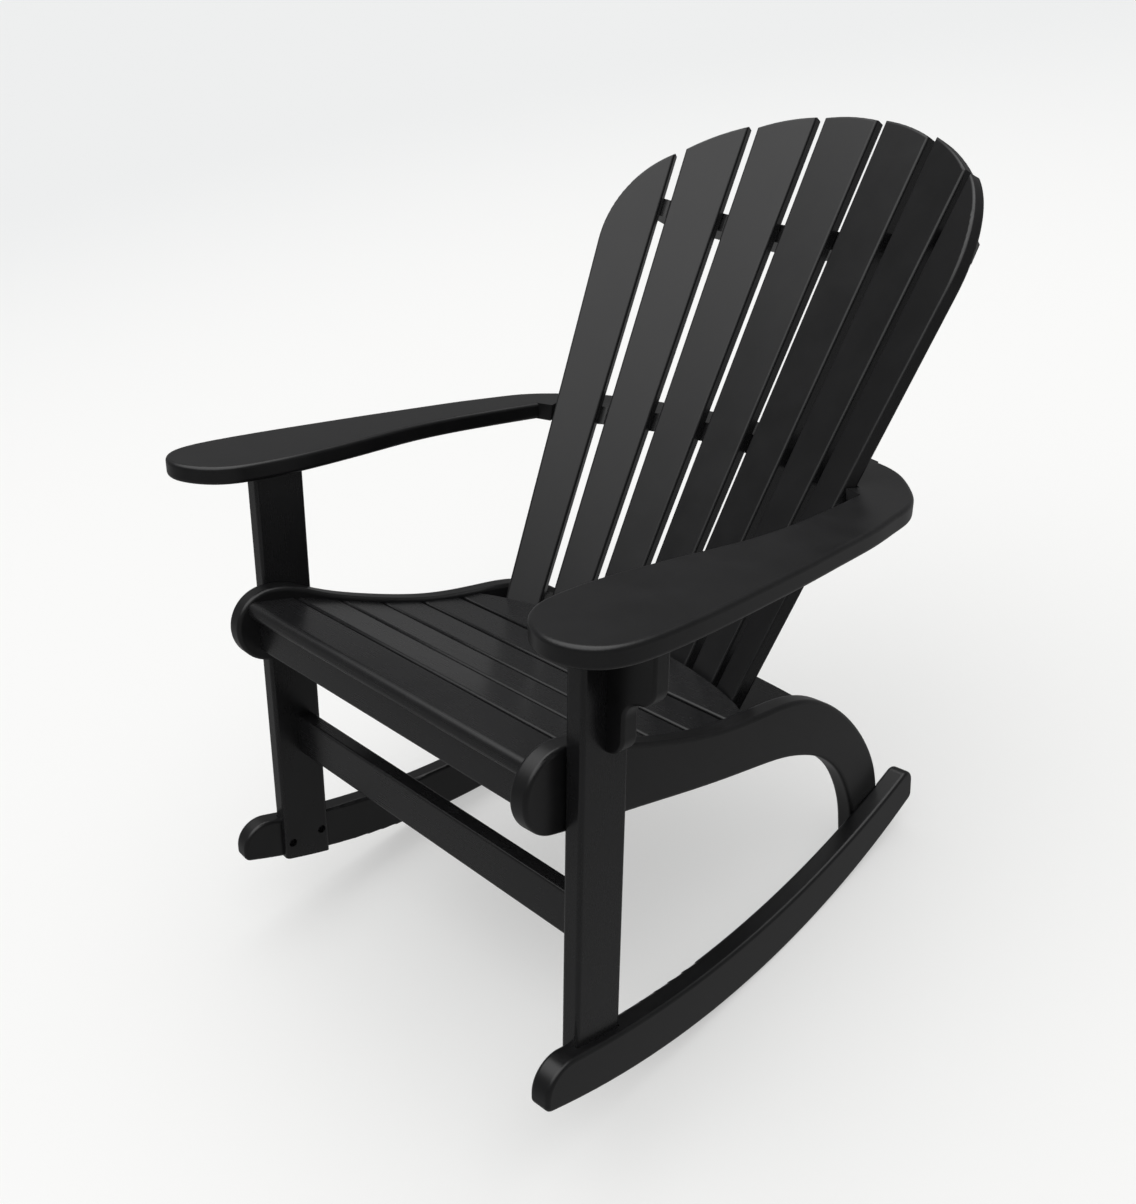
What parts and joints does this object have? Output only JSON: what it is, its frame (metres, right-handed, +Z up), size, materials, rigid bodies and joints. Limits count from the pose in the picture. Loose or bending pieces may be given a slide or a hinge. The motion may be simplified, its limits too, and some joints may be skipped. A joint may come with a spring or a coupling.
{
  "type": "rocking adirondack chair",
  "caption": "Outdoor rocking chair of rounded boards with a fan-shaped curved back, dished slat seat and wide paddle arms.",
  "frame": {"origin": "centre of the chair's overall footprint on the floor, which is the plane Z = 0", "axes": "+X to the sitter's left, -Y to the front of the chair, +Z up, with the empty chair leaning back 13.4 degrees as it balances on its rockers"},
  "size_m": [0.822, 1.0234, 0.851],
  "materials": {
    "black_board": "satin",
    "screws": "blackened"
  },
  "bodies": {
    "root": {"rocker_left": "black_board", "rocker_right": "black_board", "front_leg_left": "black_board", "front_leg_right": "black_board", "seat_stringer_left": "black_board", "seat_stringer_right": "black_board", "seat_slat_front": "black_board", "seat_slat_2": "black_board", "seat_slat_3": "black_board", "seat_slat_4": "black_board", "seat_slat_5": "black_board", "seat_slat_rear": "black_board", "apron": "black_board", "front_stretcher": "black_board", "back_slat_1": "black_board", "back_slat_2": "black_board", "back_slat_3": "black_board", "back_slat_4": "black_board", "back_slat_5": "black_board", "back_slat_6": "black_board", "back_slat_7": "black_board", "upper_back_rail": "black_board", "arm_level_rail": "black_board", "lower_back_rail": "black_board", "arm_left": "black_board", "arm_right": "black_board", "arm_bracket_left": "black_board", "arm_bracket_right": "black_board", "front_leg_screws": "screws", "rear_leg_screws": "screws"}
  },
  "joints": []
}
